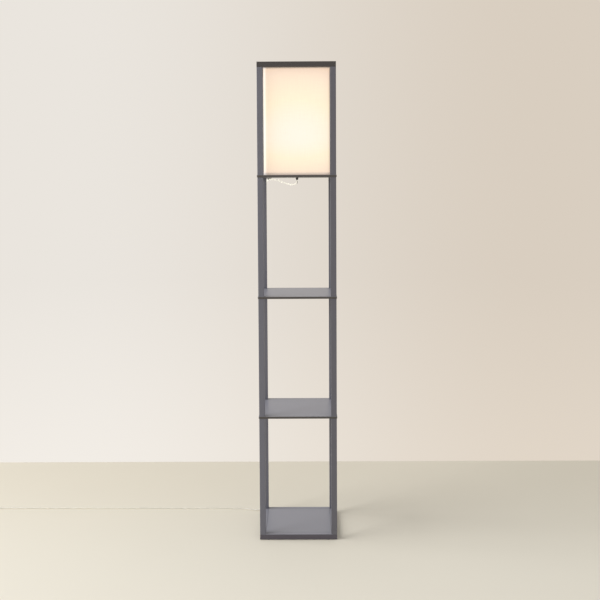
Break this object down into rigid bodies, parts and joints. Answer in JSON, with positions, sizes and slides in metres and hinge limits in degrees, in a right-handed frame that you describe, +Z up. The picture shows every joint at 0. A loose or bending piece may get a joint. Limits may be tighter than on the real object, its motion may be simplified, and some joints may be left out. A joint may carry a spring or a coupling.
{
  "type": "shelf floor lamp",
  "caption": "Tall square shelf floor lamp: dark painted posts and thin shelves, with a pale fabric shade in the head bay, a pull chain and a clear mains cord",
  "frame": {"origin": "on the floor, under the middle of the square base", "axes": "+Z up, -Y to the front, +X to the right seen from the front"},
  "size_m": [1.3641, 0.3036, 1.6],
  "materials": {
    "painted_wood": "satin",
    "plain_wood": "matte",
    "zinc_steel": "satin",
    "brass": "satin",
    "nickel": "gloss",
    "shade_fabric": "matte",
    "dark_plastic": "matte",
    "white_plastic": "satin",
    "bulb_glow": "matte",
    "clear_vinyl": "gloss",
    "felt": "matte"
  },
  "bodies": {
    "stand": {"base_dowels": "plain_wood", "base_panel": "painted_wood", "base_rail_front": "painted_wood", "base_rail_left": "painted_wood", "base_rail_rear": "painted_wood", "base_rail_right": "painted_wood", "base_screws": "zinc_steel", "bulb_body": "white_plastic", "bulb_cap": "nickel", "bulb_globe": "bulb_glow", "centre_contact": "brass", "chain_guide": "dark_plastic", "cord_bushing": "clear_vinyl", "cord_clips": "dark_plastic", "cord_coil": "clear_vinyl", "cord_inner": "clear_vinyl", "cord_lead": "clear_vinyl", "cord_tie": "white_plastic", "foot_pads": "felt", "head_post_front_left": "painted_wood", "head_post_front_right": "painted_wood", "head_post_rear_left": "painted_wood", "head_post_rear_right": "painted_wood", "holder_body": "dark_plastic", "holder_cap": "dark_plastic", "holder_ring_nut": "dark_plastic", "lamp_deck": "painted_wood", "lower_post_front_left": "painted_wood", "lower_post_front_right": "painted_wood", "lower_post_rear_left": "painted_wood", "lower_post_rear_right": "painted_wood", "lower_shelf": "painted_wood", "middle_post_front_left": "painted_wood", "middle_post_front_right": "painted_wood", "middle_post_rear_left": "painted_wood", "middle_post_rear_right": "painted_wood", "middle_shelf": "painted_wood", "nipple_nut": "zinc_steel", "nipple_washers": "zinc_steel", "plug_blades": "brass", "plug_body": "clear_vinyl", "post_inserts": "brass", "post_studs": "zinc_steel", "screw_shell": "brass", "shade_carrier": "zinc_steel", "shade_fabric": "shade_fabric", "shade_top_ring": "zinc_steel", "threaded_nipple": "zinc_steel", "top_post_dowels": "plain_wood", "top_rail_dowels": "plain_wood", "top_rail_front": "painted_wood", "top_rail_left": "painted_wood", "top_rail_rear": "painted_wood", "top_rail_right": "painted_wood", "upper_post_front_left": "painted_wood", "upper_post_front_right": "painted_wood", "upper_post_rear_left": "painted_wood", "upper_post_rear_right": "painted_wood"},
    "pull_switch": {"pull_chain": "brass", "switch_slider": "dark_plastic"}
  },
  "joints": [
    {"name": "pull_chain_slide", "type": "slide", "parent": "stand", "child": "pull_switch", "axis": [0, 0, -1], "range_m": [0, 0.008], "stiffness_N_per_m": 400, "springref_m": -0.002}
  ]
}
